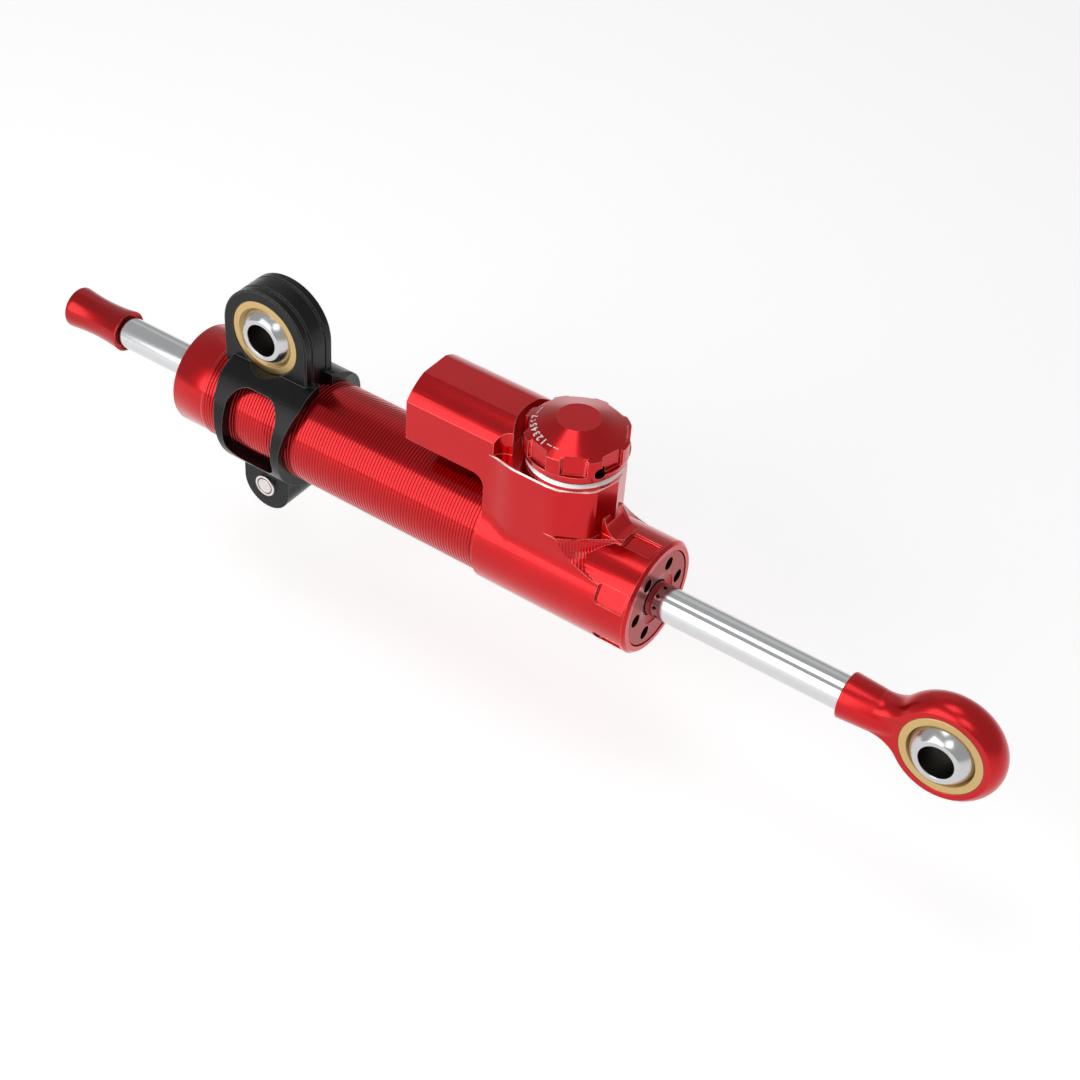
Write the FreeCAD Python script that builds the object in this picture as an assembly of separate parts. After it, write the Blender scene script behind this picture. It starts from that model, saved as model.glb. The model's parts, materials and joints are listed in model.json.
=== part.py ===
import FreeCAD, Part
import math
import os

os.makedirs("parts", exist_ok=True)

# Everything is drawn about the rod axis, with x = 0 in the plane of the clamp eye
# and +x towards the rod end. The last step moves the clamp eye to the origin.
V = FreeCAD.Vector
X, Y, Z = V(1, 0, 0), V(0, 1, 0), V(0, 0, 1)
centre = V(0, 0, 0)

# fits, edges and cutters
run_gap = 0.04         # radial gap of a sliding or turning fit
edge_break = 0.3       # small edges of turned parts
overrun = 1.0          # how far a cutter runs past the metal
far = 60.0             # a cutter that takes all there is on one side
touch = 0.01           # tolerance when edges are picked by their place

# rod
rod_eye_x = 176.7
rod_r = 4.0
rod_tail = -60.0
rod_thread_r = 3.0
rod_point = 0.5
tail_stub_len = 6.5
nose_stub_len = 8.5
nose_to_eye = 12.7
rod_nose = rod_eye_x - nose_to_eye
circlip_w = 0.8
circlip_groove_r = 3.55
circlip_r = 5.6
circlip_opening = 3.2

# cylinder tube and its inner sleeve
tube_r = 12.7
tube_wall = 1.7
tube_tail = -22.8
tail_band_step = 0.2
tail_band_len = 9.3
tail_band_chamfer = 0.6
tube_thread_step = 0.7
tube_thread_len = 11.4
oil_gap = 1.0          # ring of oil between the tube and its sleeve
sleeve_wall = 1.0
tube_in_r = tube_r - tube_wall
tail_band_r = tube_r - tail_band_step
tube_thread_r = tube_r - tube_thread_step
sleeve_r = tube_in_r - oil_gap
sleeve_in_r = sleeve_r - sleeve_wall
sleeve_port_r = 1.2
sleeve_port_x = -6.0
sleeve_ports = 4

# valve head
head_tail = 66.1
head_len = 40.3
head_nose = head_tail + head_len
head_step = 0.8
head_r = tube_r + head_step
rim_chamfer = 0.75
head_flat_y = 10.05
collar_wall = 1.9
collar_bore_r = head_r - collar_wall
foot_fillet = 6.0
collar_pockets = 6
pocket_w = 4.8
pocket_len = 7.1
pocket_depth = 0.85
pocket_corner_r = 0.9
pocket_rim = 1.4
pocket_tail = head_nose - pocket_rim - pocket_len
pocket_turn = 4.0      # the pockets and the gland's pin holes are all turned by this angle
flare_start = 0.3
flare_len = 9.1

# boss that carries the dial
dial_from_tail = 16.5
dial_x = head_tail + dial_from_tail
dial_axis = V(dial_x, 0, 0)
boss_r = 11.2
shelf_rise = 13.3
shelf_z = head_r + shelf_rise    # floor of the room for the dial
shelf_chamfer = 0.3
boss_facet = 10.8      # distance of the milled facets; the raised ring is flush with them
boss_facet_angles = (57.5, 15.0)
ring_rise = 1.5
ring_chamfer = 0.65
boss_top = shelf_z + ring_rise
ramp_angle = 51.5
ramp_n = 11.1
ramp_rise = 0.3
ramp_z = head_r + ramp_rise
ramp_run = 5.65
ramp_drop = 5.9
ramp_r = 9.0
saddle_r = 4.5
saddle_half = 3.4

# reservoir
res_overhang = 21.1
res_tail = head_tail - res_overhang
res_r = 12.6
res_axis_rise = 8.9
res_floor_rise = 6.3
res_height = 14.6
res_axis_z = head_r + res_axis_rise
res_floor_z = head_r + res_floor_rise
res_flat_z = res_floor_z + res_height
res_fillet = 3.0
res_bore_rise = 7.2
res_bore_z = res_floor_z + res_bore_rise
res_bore_r = 5.4
res_bore_past_tail = 0.4
res_bore_end = head_tail + res_bore_past_tail
dial_room_r = 13.4
finger_len = 14.5
finger_y = 7.4
finger_r = 3.6
plug_clip_back = 1.0
plug_clip_depth = 0.6
plug_clip_w = 1.7
plug_clip_opening = 3.0
plug_len = 4.2
plug_thread_r = 1.25
plug_thread_depth = 2.6
float_back = 7.4
float_x = head_tail - float_back
float_len = 5.4
float_seal_off = 0.8
float_cup_r = 3.6
float_cup_depth = 2.0

# glands, numbered from the outer face inwards
gland_len = 12.0
gland_inset = 0.2
tail_gland_inset = 0.5
gland_edge = 0.4
gland_bore_gap = 0.35
spigot_len = 2.0
pin_hole_r = 1.15
pin_hole_circle = 8.4
pin_holes = 6
pin_hole_depth = 3.0
wiper_r = 5.6
wiper_len = 1.6
wiper_inset = 0.9
gland_land = 0.8
seal_r = 6.6
seal_len = 2.4
bush_r = 5.2
bush_len = 6.0
dish_r = 6.4
dish_depth = 0.6

# static seals in their grooves
cord_r = 0.7
cord_edge = 0.385
groove_half = 0.8
groove_gap = 0.02
gland_groove_back = 2.4

# piston
piston_x = 52.0
piston_len = 10.0
piston_gap = 0.15
piston_r = sleeve_in_r - piston_gap
piston_chamfer = 0.6
band_len = 4.0
band_depth = 0.85
band_in_r = piston_r - band_depth
band_side_gap = 0.05

# spherical bearings
ball_r = 7.94
ball_half = 6.0
ball_bore_r = 4.0
race_r = 9.5
rod_race_half = 3.9
clamp_race_half = 4.6

# rod end, measured back from the centre of its eye
shank_back = 23.6
shank_r = 5.3
shank_edge = 0.35
neck_back = 15.7
neck_r = 4.85
waist_back = 10.9
waist_r = 6.2
flat_back = 10.7
eye_join_back = 7.5
eye_join_r = 9.9
eye_r = 12.9
eye_face_r = 10.9

# rear cap
cap_past_rod = 5.4
cap_len = 16.9
cap_end_r = 5.25
cap_waist_r = 4.65
cap_waist_at = 8.6
cap_edge = 0.5
cap_lip = 0.35
cap_recess_r = 4.7
cap_recess_len = 0.8

# clamp
eye_rise = 10.2
eye_z = tube_r + eye_rise
clamp_eye_r = 12.2
ear_half = 4.8
ear_seam = 2.35
ear_edge = 0.35
ear_foot_z = 6.0
clamp_wall = 2.5
clamp_band_r = tube_r + clamp_wall
band_x = 2.4
band_half_top = 11.8
band_half_waist = 9.7
band_half_low = 8.9
band_waist_z = 1.0
band_top_z = 15.5      # the ear hides the band above this
window_half = 7.3
window_corner_r = 4.8
window_low = -8.5
window_high = 11.5
window_depth = 6.0
lug_x = -0.75
lug_drop = 5.6
lug_z = -clamp_band_r - lug_drop
lug_r = 6.8
lug_half = 5.0
lug_root_z = -11.0
pin_r = 2.0
pin_head_r = 2.9
pin_head_len = 0.9
pin_head_slope = 0.5

# dial
hub_gap = 0.3
hub_r = 9.9
hub_len = 0.7
dial_r = 11.6
dial_foot_r = 11.3
dial_foot_edge = 0.2
dial_foot_len = 1.6
dial_step = 0.15
dial_grip_len = 4.1
dial_bevel_rise = 3.2
dial_disc_r = 4.7
hub_bottom = boss_top + hub_gap
dial_bottom = hub_bottom + hub_len
dial_foot_top = dial_bottom + dial_foot_len
dial_bevel_z = dial_foot_top + dial_grip_len
dial_top = dial_bevel_z + dial_bevel_rise
flutes = 8
flute_w = 5.8
flute_depth = 1.1
flute_start = -60.0
flute_corner_r = 0.8
grub_angle = -30.0
grub_rise = 2.3
grub_z = dial_bottom + grub_rise
grub_r = 1.5
grub_len = 4.5
socket_r = 0.85
socket_depth = 1.6

# detent
detents = 24
detent_ring_r = 8.2
detent_track_half = 1.25
detent_track_depth = 0.5
dimple_r = 0.65
dimple_depth = 0.25
detent_ball_r = 1.25
detent_ball_drop = 0.8
detent_hole_depth = 5.0
detent_axis = V(dial_x + detent_ring_r, 0, 0)
spring_wire_r = 0.16
spring_coil_r = 0.95
spring_turns = 3.5
spring_below_ball = 0.775

# rotary valve: a ported barrel on the spindle, turning in a ported sleeve
valve_bore_r = 4.0
valve_sink = 0.3
valve_floor = head_r - valve_sink
seat_len = 1.2
seat_top = valve_floor + seat_len
seat_spigot_r = 1.8
seat_spigot_len = 3.9
feed_r = 0.9
bypass_off = 3.3
bypass_r = 0.6
port_rise = 1.8
port_z = seat_top + port_rise
chamber_r = 3.5
chamber_len = 3.6
ported_len = 6.6
sleeve_outlet_r = 0.7
barrel_r = 3.0
barrel_bore_r = 1.4
barrel_bore_len = 4.5
barrel_sink = 3.1
barrel_top = boss_top - barrel_sink
barrel_ports = 7
barrel_port_step = 50.0
barrel_port_r = 0.25
barrel_port_growth = 0.07
flange_r = 5.5
flange_len = 2.7
flange_sink = 0.3
packing_r = 3.2
packing_sink = 1.0
packing_len = 1.3
spindle_r = 2.0
spindle_flat = 0.4
spindle_into_dial = 7.4
drilling_r = 0.8
drilling_rise = 9.7
drilling_high_z = head_r + drilling_rise


def cylinder(radius, start, end, axis=X, at=centre):
    return Part.makeCylinder(radius, end - start, at + axis * start, axis)


def ring(outer, inner, start, end, axis=X, at=centre):
    hole = cylinder(inner, start - overrun, end + overrun, axis, at)
    return cylinder(outer, start, end, axis, at).cut(hole)


def block(x0, x1, y0, y1, z0, z1):
    return Part.makeBox(x1 - x0, y1 - y0, z1 - z0, V(x0, y0, z0))


def fuse(first, *others):
    return first.multiFuse(list(others)).removeSplitter()


def turned(points, axis=X, at=centre):
    # points are (station along the axis, radius)
    side = Z if axis == X else X
    corners = [at + axis * s + side * r for s, r in points]
    return Part.Face(Part.makePolygon(corners + corners[:1])).revolve(at, axis, 360)


def prism(points, direction, place):
    corners = [place(a, b) for a, b in points]
    return Part.Face(Part.makePolygon(corners + corners[:1])).extrude(direction)


def edges_where(shape, test):
    return [e for e in shape.Edges if test(e)]


def straight_along(edge, axis):
    if edge.Curve.TypeId != "Part::GeomLine":
        return False
    d = (edge.Vertexes[-1].Point - edge.Vertexes[0].Point).normalize()
    return abs(abs(d.dot(axis)) - 1) < 1e-6


def spun(shape, count, axis=X, at=centre, start=0.0):
    made = []
    for i in range(count):
        copy = shape.copy()
        copy.rotate(at, axis, start + i * 360.0 / count)
        made.append(copy)
    return made


def mirrored(shape):
    return shape.mirror(centre, Y)


def seal_ring(outer, middle, axis=X, at=centre):
    # static seal with a rounded square section, outer radius and middle station given
    inner = outer - 2 * cord_r
    low, high = middle - cord_r, middle + cord_r
    return turned([(low, inner + cord_edge), (low, outer - cord_edge), (low + cord_edge, outer),
                   (high - cord_edge, outer), (high, outer - cord_edge), (high, inner + cord_edge),
                   (high - cord_edge, inner), (low + cord_edge, inner)], axis, at)


def seal_groove(outer, middle, at=centre):
    floor = outer - 2 * cord_r - groove_gap
    return ring(outer + overrun, floor, middle - groove_half, middle + groove_half, X, at)


def make_rod():
    bar = turned([(rod_tail, 0), (rod_tail, rod_thread_r - rod_point), (rod_tail + rod_point, rod_thread_r),
                  (rod_tail + tail_stub_len, rod_thread_r), (rod_tail + tail_stub_len, rod_r),
                  (rod_nose - nose_stub_len, rod_r), (rod_nose - nose_stub_len, rod_thread_r),
                  (rod_nose - rod_point, rod_thread_r), (rod_nose, rod_thread_r - rod_point), (rod_nose, 0)])
    clips = []
    for x in (piston_x - piston_len / 2 - circlip_w, piston_x + piston_len / 2):
        bar = bar.cut(ring(rod_r + overrun, circlip_groove_r, x, x + circlip_w))
        clip = ring(circlip_r, circlip_groove_r, x, x + circlip_w)
        opening = block(x - overrun, x + circlip_w + overrun, -circlip_opening / 2, circlip_opening / 2,
                        -circlip_r - overrun, 0)
        clips.append(clip.cut(opening))
    return bar, Part.makeCompound(clips)


def make_piston():
    tail, nose = piston_x - piston_len / 2, piston_x + piston_len / 2
    half = band_len / 2 + band_side_gap
    body = turned([(tail, rod_r), (tail, piston_r - piston_chamfer), (tail + piston_chamfer, piston_r),
                   (piston_x - half, piston_r), (piston_x - half, band_in_r), (piston_x + half, band_in_r),
                   (piston_x + half, piston_r), (nose - piston_chamfer, piston_r),
                   (nose, piston_r - piston_chamfer), (nose, rod_r)])
    band = ring(sleeve_in_r - run_gap, band_in_r + run_gap, piston_x - band_len / 2, piston_x + band_len / 2)
    return body, band


def make_rod_end():
    half = rod_race_half
    at = V(rod_eye_x, 0, 0)
    shank_tail, neck_x = rod_eye_x - shank_back, rod_eye_x - neck_back
    flat_x, join_x = rod_eye_x - flat_back, rod_eye_x - eye_join_back
    shank = turned([(shank_tail, 0), (shank_tail, shank_r - shank_edge), (shank_tail + shank_edge, shank_r),
                    (neck_x, neck_r), (flat_x, half), (flat_x, 0)])
    # barrel-shaped eye: flat faces, bulging outside
    near, away = at + V(0, -half, eye_face_r), at + V(0, half, eye_face_r)
    barrel = Part.Arc(near, at + V(0, 0, eye_r), away).toShape()
    inner = Part.makePolygon([away, at + V(0, half, 0), at + V(0, -half, 0), near])
    eye = Part.Face(Part.Wire([barrel] + inner.Edges)).revolve(at, Y, 360)
    # waist: turned like the neck, milled flat on both sides
    neck, join = V(neck_x, 0, neck_r), V(join_x, 0, eye_join_r)
    side = Part.Arc(neck, V(rod_eye_x - waist_back, 0, waist_r), join).toShape()
    rest = Part.makePolygon([join, V(rod_eye_x, 0, eye_join_r), at, V(neck_x, 0, 0), neck])
    waist = Part.Face(Part.Wire([side] + rest.Edges)).revolve(centre, X, 360)
    waist = waist.common(block(neck_x, rod_eye_x, -half, half, -eye_r, eye_r))
    body = fuse(shank, eye, waist)
    body = body.cut(cylinder(race_r, -half - overrun, half + overrun, Y, at))
    body = body.cut(cylinder(rod_thread_r, shank_tail - overrun, rod_nose))
    return body.cut(cylinder(rod_r, shank_tail - overrun, rod_nose - nose_stub_len))


def make_cap():
    tail = rod_tail - cap_past_rod
    nose = tail + cap_len
    start, end = V(nose - cap_edge, 0, cap_end_r), V(tail + cap_edge, 0, cap_end_r)
    waist = Part.Arc(start, V(tail + cap_waist_at, 0, cap_waist_r), end).toShape()
    rest = Part.makePolygon([end, V(tail, 0, cap_end_r - cap_edge), V(tail, 0, 0), V(nose, 0, 0),
                             V(nose, 0, cap_end_r - cap_lip), start])
    cap = Part.Face(Part.Wire([waist] + rest.Edges)).revolve(centre, X, 360)
    cap = cap.cut(cylinder(cap_recess_r, nose - cap_recess_len, nose + overrun))
    cap = cap.cut(cylinder(rod_r, rod_tail + tail_stub_len, nose + overrun))
    return cap.cut(cylinder(rod_thread_r, rod_tail, nose + overrun))


def make_bearing(x, z, half):
    at = V(x, 0, z)
    inner = ball_bore_r - overrun
    shell = turned([(-half, inner), (-half, race_r - edge_break), (edge_break - half, race_r),
                    (half - edge_break, race_r), (half, race_r - edge_break), (half, inner)], Y, at)
    shell = shell.cut(Part.makeSphere(ball_r + run_gap, at))
    blank = turned([(-ball_half, ball_bore_r + edge_break), (edge_break - ball_half, ball_bore_r),
                    (ball_half - edge_break, ball_bore_r), (ball_half, ball_bore_r + edge_break),
                    (ball_half, ball_r + overrun), (-ball_half, ball_r + overrun)], Y, at)
    return shell, Part.makeSphere(ball_r, at).common(blank)


def make_tube():
    band_end, thread_end = tube_tail + tail_band_len, head_tail + tube_thread_len
    tube = turned([(tube_tail, tube_in_r), (tube_tail, tail_band_r - tail_band_chamfer),
                   (tube_tail + tail_band_chamfer, tail_band_r), (band_end, tail_band_r), (band_end, tube_r),
                   (head_tail, tube_r), (head_tail, tube_thread_r), (thread_end, tube_thread_r),
                   (thread_end, tube_in_r)])
    sleeve = ring(sleeve_r, sleeve_in_r, tube_tail + tail_gland_inset + gland_len,
                  head_nose - gland_inset - gland_len)
    port_at = V(sleeve_port_x, 0, 0)
    port = cylinder(sleeve_port_r, sleeve_in_r - overrun, sleeve_r + overrun, Z, port_at)
    for hole in spun(port, sleeve_ports):
        sleeve = sleeve.cut(hole)
    return tube, sleeve.cut(cylinder(seat_spigot_r, 0, sleeve_r + overrun, Z, dial_axis))


def make_gland(face, sign, outer):
    # stations run inwards from the outer face; sign turns them into x
    def between(start, end):
        return sorted((face - sign * start, face - sign * end))
    seal_start = wiper_len + gland_land
    bush_start = seal_start + seal_len + gland_land
    bore_r = rod_r + gland_bore_gap
    profile = [(0, bore_r), (0, outer - gland_edge), (gland_edge, outer), (gland_len, outer),
               (gland_len, sleeve_in_r), (gland_len + spigot_len, sleeve_in_r),
               (gland_len + spigot_len, bore_r)]
    gland = turned([(face - sign * s, r) for s, r in profile])
    gland = gland.cut(cylinder(bush_r, *between(bush_start, bush_start + bush_len)))
    gland = gland.cut(cylinder(seal_r, *between(seal_start, seal_start + seal_len)))
    gland = gland.cut(cylinder(wiper_r, *between(-overrun, wiper_len)))
    gland = gland.cut(Part.makeCone(dish_r, wiper_r, dish_depth, V(face, 0, 0), X * -sign))
    hole = cylinder(pin_hole_r, *between(-overrun, pin_hole_depth), X, V(0, pin_hole_circle, 0))
    for one in spun(hole, pin_holes, start=pocket_turn):
        gland = gland.cut(one)
    middle = face - sign * (gland_len - gland_groove_back)
    gland = gland.cut(seal_groove(outer, middle))
    bush = ring(bush_r, rod_r + run_gap, *between(bush_start, bush_start + bush_len))
    seal = ring(seal_r, rod_r + run_gap, *between(seal_start, seal_start + seal_len))
    wiper = ring(wiper_r, rod_r + run_gap, *between(wiper_inset, wiper_len))
    return gland, bush, seal, wiper, seal_ring(outer, middle)


def facet_cut(angle):
    tool = block(dial_x + boss_facet, dial_x + far, -far, far, ramp_z, shelf_z + overrun)
    tool.rotate(dial_axis, Z, angle)
    return tool


def make_ramp():
    # milled valley between the boss and the collar, straight across the corner
    a = math.radians(-ramp_angle)
    n, t = V(math.cos(a), math.sin(a), 0), V(-math.sin(a), math.cos(a), 0)
    low_n, low_z = ramp_n + ramp_run, ramp_z - ramp_drop
    outside = prism([(ramp_n, ramp_z), (low_n, low_z), (far, low_z), (far, far), (ramp_n, far)],
                    t * 2 * far, lambda p, q: dial_axis + n * p + Z * q - t * far)
    chord = math.hypot(ramp_run, ramp_drop)
    reach = math.sqrt(ramp_r ** 2 - (chord / 2) ** 2)
    middle = dial_axis + n * (ramp_n + low_n) * 0.5 + Z * (ramp_z + low_z) * 0.5
    middle = middle + (n * ramp_drop + Z * ramp_run) * (reach / chord) - t * far
    return fuse(outside, Part.makeCylinder(ramp_r, 2 * far, middle, t))


def s_bend(start, end):
    # two equal arcs between parallel lines along x
    run, rise = end.x - start.x, end.y - start.y
    radius = (run ** 2 + rise ** 2) / (4 * abs(rise))
    half = math.asin(run / (2 * radius)) / 2
    along, off = radius * math.sin(half), math.copysign(radius * (1 - math.cos(half)), rise)
    middle = (start + end) * 0.5
    return [Part.Arc(start, start + V(along, off, 0), middle).toShape(),
            Part.Arc(middle, end - V(along, off, 0), end).toShape()]


def wall_outline(nose):
    # plan of the side walls: along the reservoir flats, then flaring out to the width of the boss
    edges = []
    flare_tail = head_tail + flare_start
    for side in (1, -1):
        tail, start = V(head_tail, side * head_flat_y, 0), V(flare_tail, side * head_flat_y, 0)
        end, front = V(flare_tail + flare_len, side * boss_r, 0), V(nose, side * boss_r, 0)
        edges += [Part.makeLine(tail, start)] + s_bend(start, end) + [Part.makeLine(end, front)]
    edges.append(Part.makeLine(V(head_tail, -head_flat_y, 0), V(head_tail, head_flat_y, 0)))
    edges.append(Part.makeLine(V(nose, -boss_r, 0), V(nose, boss_r, 0)))
    return Part.Wire(Part.__sortEdges__(edges))


def on_foot(edge):
    # edges where the side walls meet the drum
    middle = edge.valueAt((edge.FirstParameter + edge.LastParameter) / 2)
    on_drum = abs(math.hypot(middle.y, middle.z) - head_r) < touch
    return edge.BoundBox.XLength > touch and on_drum and middle.z > 0 and abs(middle.y) > head_flat_y / 2


def on_shelf_edge(edge):
    # outer edges of the shelf round the dial, but not its end at the head's tail
    box = edge.BoundBox
    return box.ZMin > shelf_z - touch and (box.XLength > touch or box.XMin > dial_x)


def make_head():
    drum = turned([(head_tail, 0), (head_tail, head_r), (head_nose - rim_chamfer, head_r),
                   (head_nose, head_r - rim_chamfer), (head_nose, 0)])
    # collar pockets, open outwards
    pocket = block(pocket_tail, pocket_tail + pocket_len, -pocket_w / 2, pocket_w / 2,
                   head_r - pocket_depth, head_r + overrun)
    pocket = pocket.makeFillet(pocket_corner_r, edges_where(pocket, lambda e: straight_along(e, Z)
                                                            and e.BoundBox.XMax < pocket_tail + touch))
    for one in spun(pocket, collar_pockets, start=pocket_turn):
        drum = drum.cut(one)

    # flared side walls of the web and the gusset, with a concave foot on the drum
    gusset = Part.Face(wall_outline(head_nose)).extrude(Z * ramp_z)
    foot = fuse(cylinder(head_r, head_tail, head_nose), gusset)
    foot = foot.makeFillet(foot_fillet, edges_where(foot, on_foot))
    ramp = make_ramp()
    foot = foot.cut(ramp).cut(mirrored(ramp)).cut(block(pocket_tail, far * 2, -far, far, -far, far))
    web = Part.Face(wall_outline(dial_x)).extrude(Z * shelf_z)

    # boss with its milled facets, and the saddle in front of it
    boss = cylinder(boss_r, 0, shelf_z, Z, dial_axis)
    for angle in boss_facet_angles:
        boss = boss.cut(facet_cut(angle)).cut(facet_cut(-angle))
    tower = fuse(web, boss)
    tower = tower.makeChamfer(shelf_chamfer, edges_where(tower, on_shelf_edge))
    saddle_x, saddle_z = dial_x + boss_facet + saddle_r, head_r + saddle_r
    saddle = block(dial_x, saddle_x, -saddle_half, saddle_half, tube_in_r, saddle_z)
    saddle = saddle.cut(cylinder(saddle_r, -far, far, Y, V(saddle_x, 0, saddle_z)))

    # reservoir: round body with flats, its floor clear of the tube
    res = cylinder(res_r, res_tail, dial_x, X, V(0, 0, res_axis_z))
    res = res.common(block(res_tail, dial_x, -head_flat_y, head_flat_y, head_r, res_flat_z))
    res = res.cut(block(res_tail - overrun, head_tail, -far, far, 0, res_floor_z))

    # fillet under the reservoir where it meets the head
    under_x, under_z = head_tail - res_fillet, res_floor_z - res_fillet
    under = block(under_x, head_tail, -head_flat_y, head_flat_y, under_z, res_floor_z)
    under = under.cut(cylinder(res_fillet, -far, far, Y, V(under_x, 0, under_z)))

    head = fuse(drum, foot, saddle, tower, res, under)

    # room for the dial: round pocket, finger reliefs at both sides
    room = cylinder(dial_room_r, shelf_z, far, Z, dial_axis)
    relief = block(dial_x - finger_len, dial_x, finger_y, far, shelf_z, far)
    relief = relief.makeFillet(finger_r, edges_where(relief, lambda e: straight_along(e, Z)
                                                     and e.BoundBox.XMax < dial_x - finger_len + touch
                                                     and e.BoundBox.YMax < finger_y + touch))
    head = head.cut(fuse(room, relief, mirrored(relief)))

    # raised ring below the dial, with its bright chamfer
    head = fuse(head, turned([(shelf_z, 0), (shelf_z, boss_facet), (boss_top - ring_chamfer, boss_facet),
                              (boss_top, boss_facet - ring_chamfer), (boss_top, 0)], Z, dial_axis))

    # bores along the rod axis
    head = head.cut(cylinder(tube_thread_r, head_tail - overrun, head_tail + tube_thread_len))
    head = head.cut(cylinder(tube_in_r, head_tail, head_nose))
    head = head.cut(cylinder(collar_bore_r, head_nose - gland_inset - gland_len, head_nose + overrun))
    # valve chamber with its flange seat, and the drillings into the cylinder
    head = head.cut(cylinder(valve_bore_r, valve_floor, boss_top + overrun, Z, dial_axis))
    head = head.cut(cylinder(flange_r, boss_top - flange_sink - flange_len, boss_top + overrun, Z, dial_axis))
    head = head.cut(cylinder(seat_spigot_r, 0, valve_floor + overrun, Z, dial_axis))
    head = head.cut(cylinder(bypass_r, 0, valve_floor + overrun, Z, dial_axis + X * bypass_off))
    # reservoir bore, its drilling to the valve chamber and the groove of the plug's circlip
    res_axis = V(0, 0, res_bore_z)
    head = head.cut(cylinder(res_bore_r, res_tail - overrun, res_bore_end, X, res_axis))
    start, end = V(res_bore_end - overrun, 0, drilling_high_z), V(dial_x - chamber_r, 0, port_z)
    head = head.cut(Part.makeCylinder(drilling_r, start.distanceToPoint(end), start, end - start))
    clip_tail = res_tail + plug_clip_back
    head = head.cut(ring(res_bore_r + plug_clip_depth, res_bore_r - overrun, clip_tail, clip_tail + circlip_w,
                         X, res_axis))
    # detent hole beside the valve
    return head.cut(cylinder(detent_ball_r + run_gap, boss_top - detent_hole_depth, boss_top + overrun, Z,
                             detent_axis))


def make_valve():
    # seat plate with a spigot down into the inner sleeve
    seat = turned([(valve_floor - seat_spigot_len, feed_r), (valve_floor - seat_spigot_len, seat_spigot_r),
                   (valve_floor, seat_spigot_r), (valve_floor, valve_bore_r), (seat_top, valve_bore_r),
                   (seat_top, feed_r)], Z, dial_axis)
    seat = seat.cut(cylinder(bypass_r, 0, seat_top + overrun, Z, dial_axis + X * bypass_off))
    # ported sleeve with an oil chamber round its lower part
    bore_r, ported_top = barrel_r + run_gap, seat_top + ported_len
    chamber_top = seat_top + chamber_len
    ported = turned([(seat_top, bore_r), (seat_top, chamber_r), (chamber_top, chamber_r),
                     (chamber_top, valve_bore_r), (ported_top, valve_bore_r), (ported_top, bore_r)],
                    Z, dial_axis)
    ported = ported.cut(cylinder(sleeve_outlet_r, 0, valve_bore_r, X, V(dial_x, 0, port_z)))
    # flanged body with the spindle's packing
    shaft_r, flange_top = spindle_r + run_gap, boss_top - flange_sink
    packing_top = boss_top - packing_sink
    packing_low = packing_top - packing_len
    body = turned([(ported_top, bore_r), (ported_top, valve_bore_r), (flange_top - flange_len, valve_bore_r),
                   (flange_top - flange_len, flange_r), (flange_top, flange_r), (flange_top, shaft_r),
                   (packing_top, shaft_r), (packing_top, packing_r), (packing_low, packing_r),
                   (packing_low, shaft_r), (barrel_top + run_gap, shaft_r), (barrel_top + run_gap, bore_r)],
                  Z, dial_axis)
    packing = ring(packing_r, shaft_r, packing_low, packing_top, Z, dial_axis)
    # spindle: hollow barrel with ports that grow round it, and a flat for the grub screw
    barrel_low, spindle_top = seat_top + run_gap, hub_bottom + spindle_into_dial
    spindle = turned([(barrel_low, 0), (barrel_low, barrel_r), (barrel_top, barrel_r),
                      (barrel_top, spindle_r), (spindle_top, spindle_r), (spindle_top, 0)], Z, dial_axis)
    spindle = spindle.cut(cylinder(barrel_bore_r, seat_top, seat_top + barrel_bore_len, Z, dial_axis))
    for i in range(barrel_ports):
        port_r = barrel_port_r + i * barrel_port_growth
        port = cylinder(port_r, 0, barrel_r + overrun, X, V(dial_x, 0, port_z))
        port.rotate(dial_axis, Z, (i - (barrel_ports - 1) / 2) * barrel_port_step)
        spindle = spindle.cut(port)
    flat = block(dial_x + spindle_r - spindle_flat, dial_x + far, -far, far, dial_bottom, far)
    flat.rotate(dial_axis, Z, grub_angle)
    return seat, ported, body, packing, spindle.cut(flat)


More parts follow.
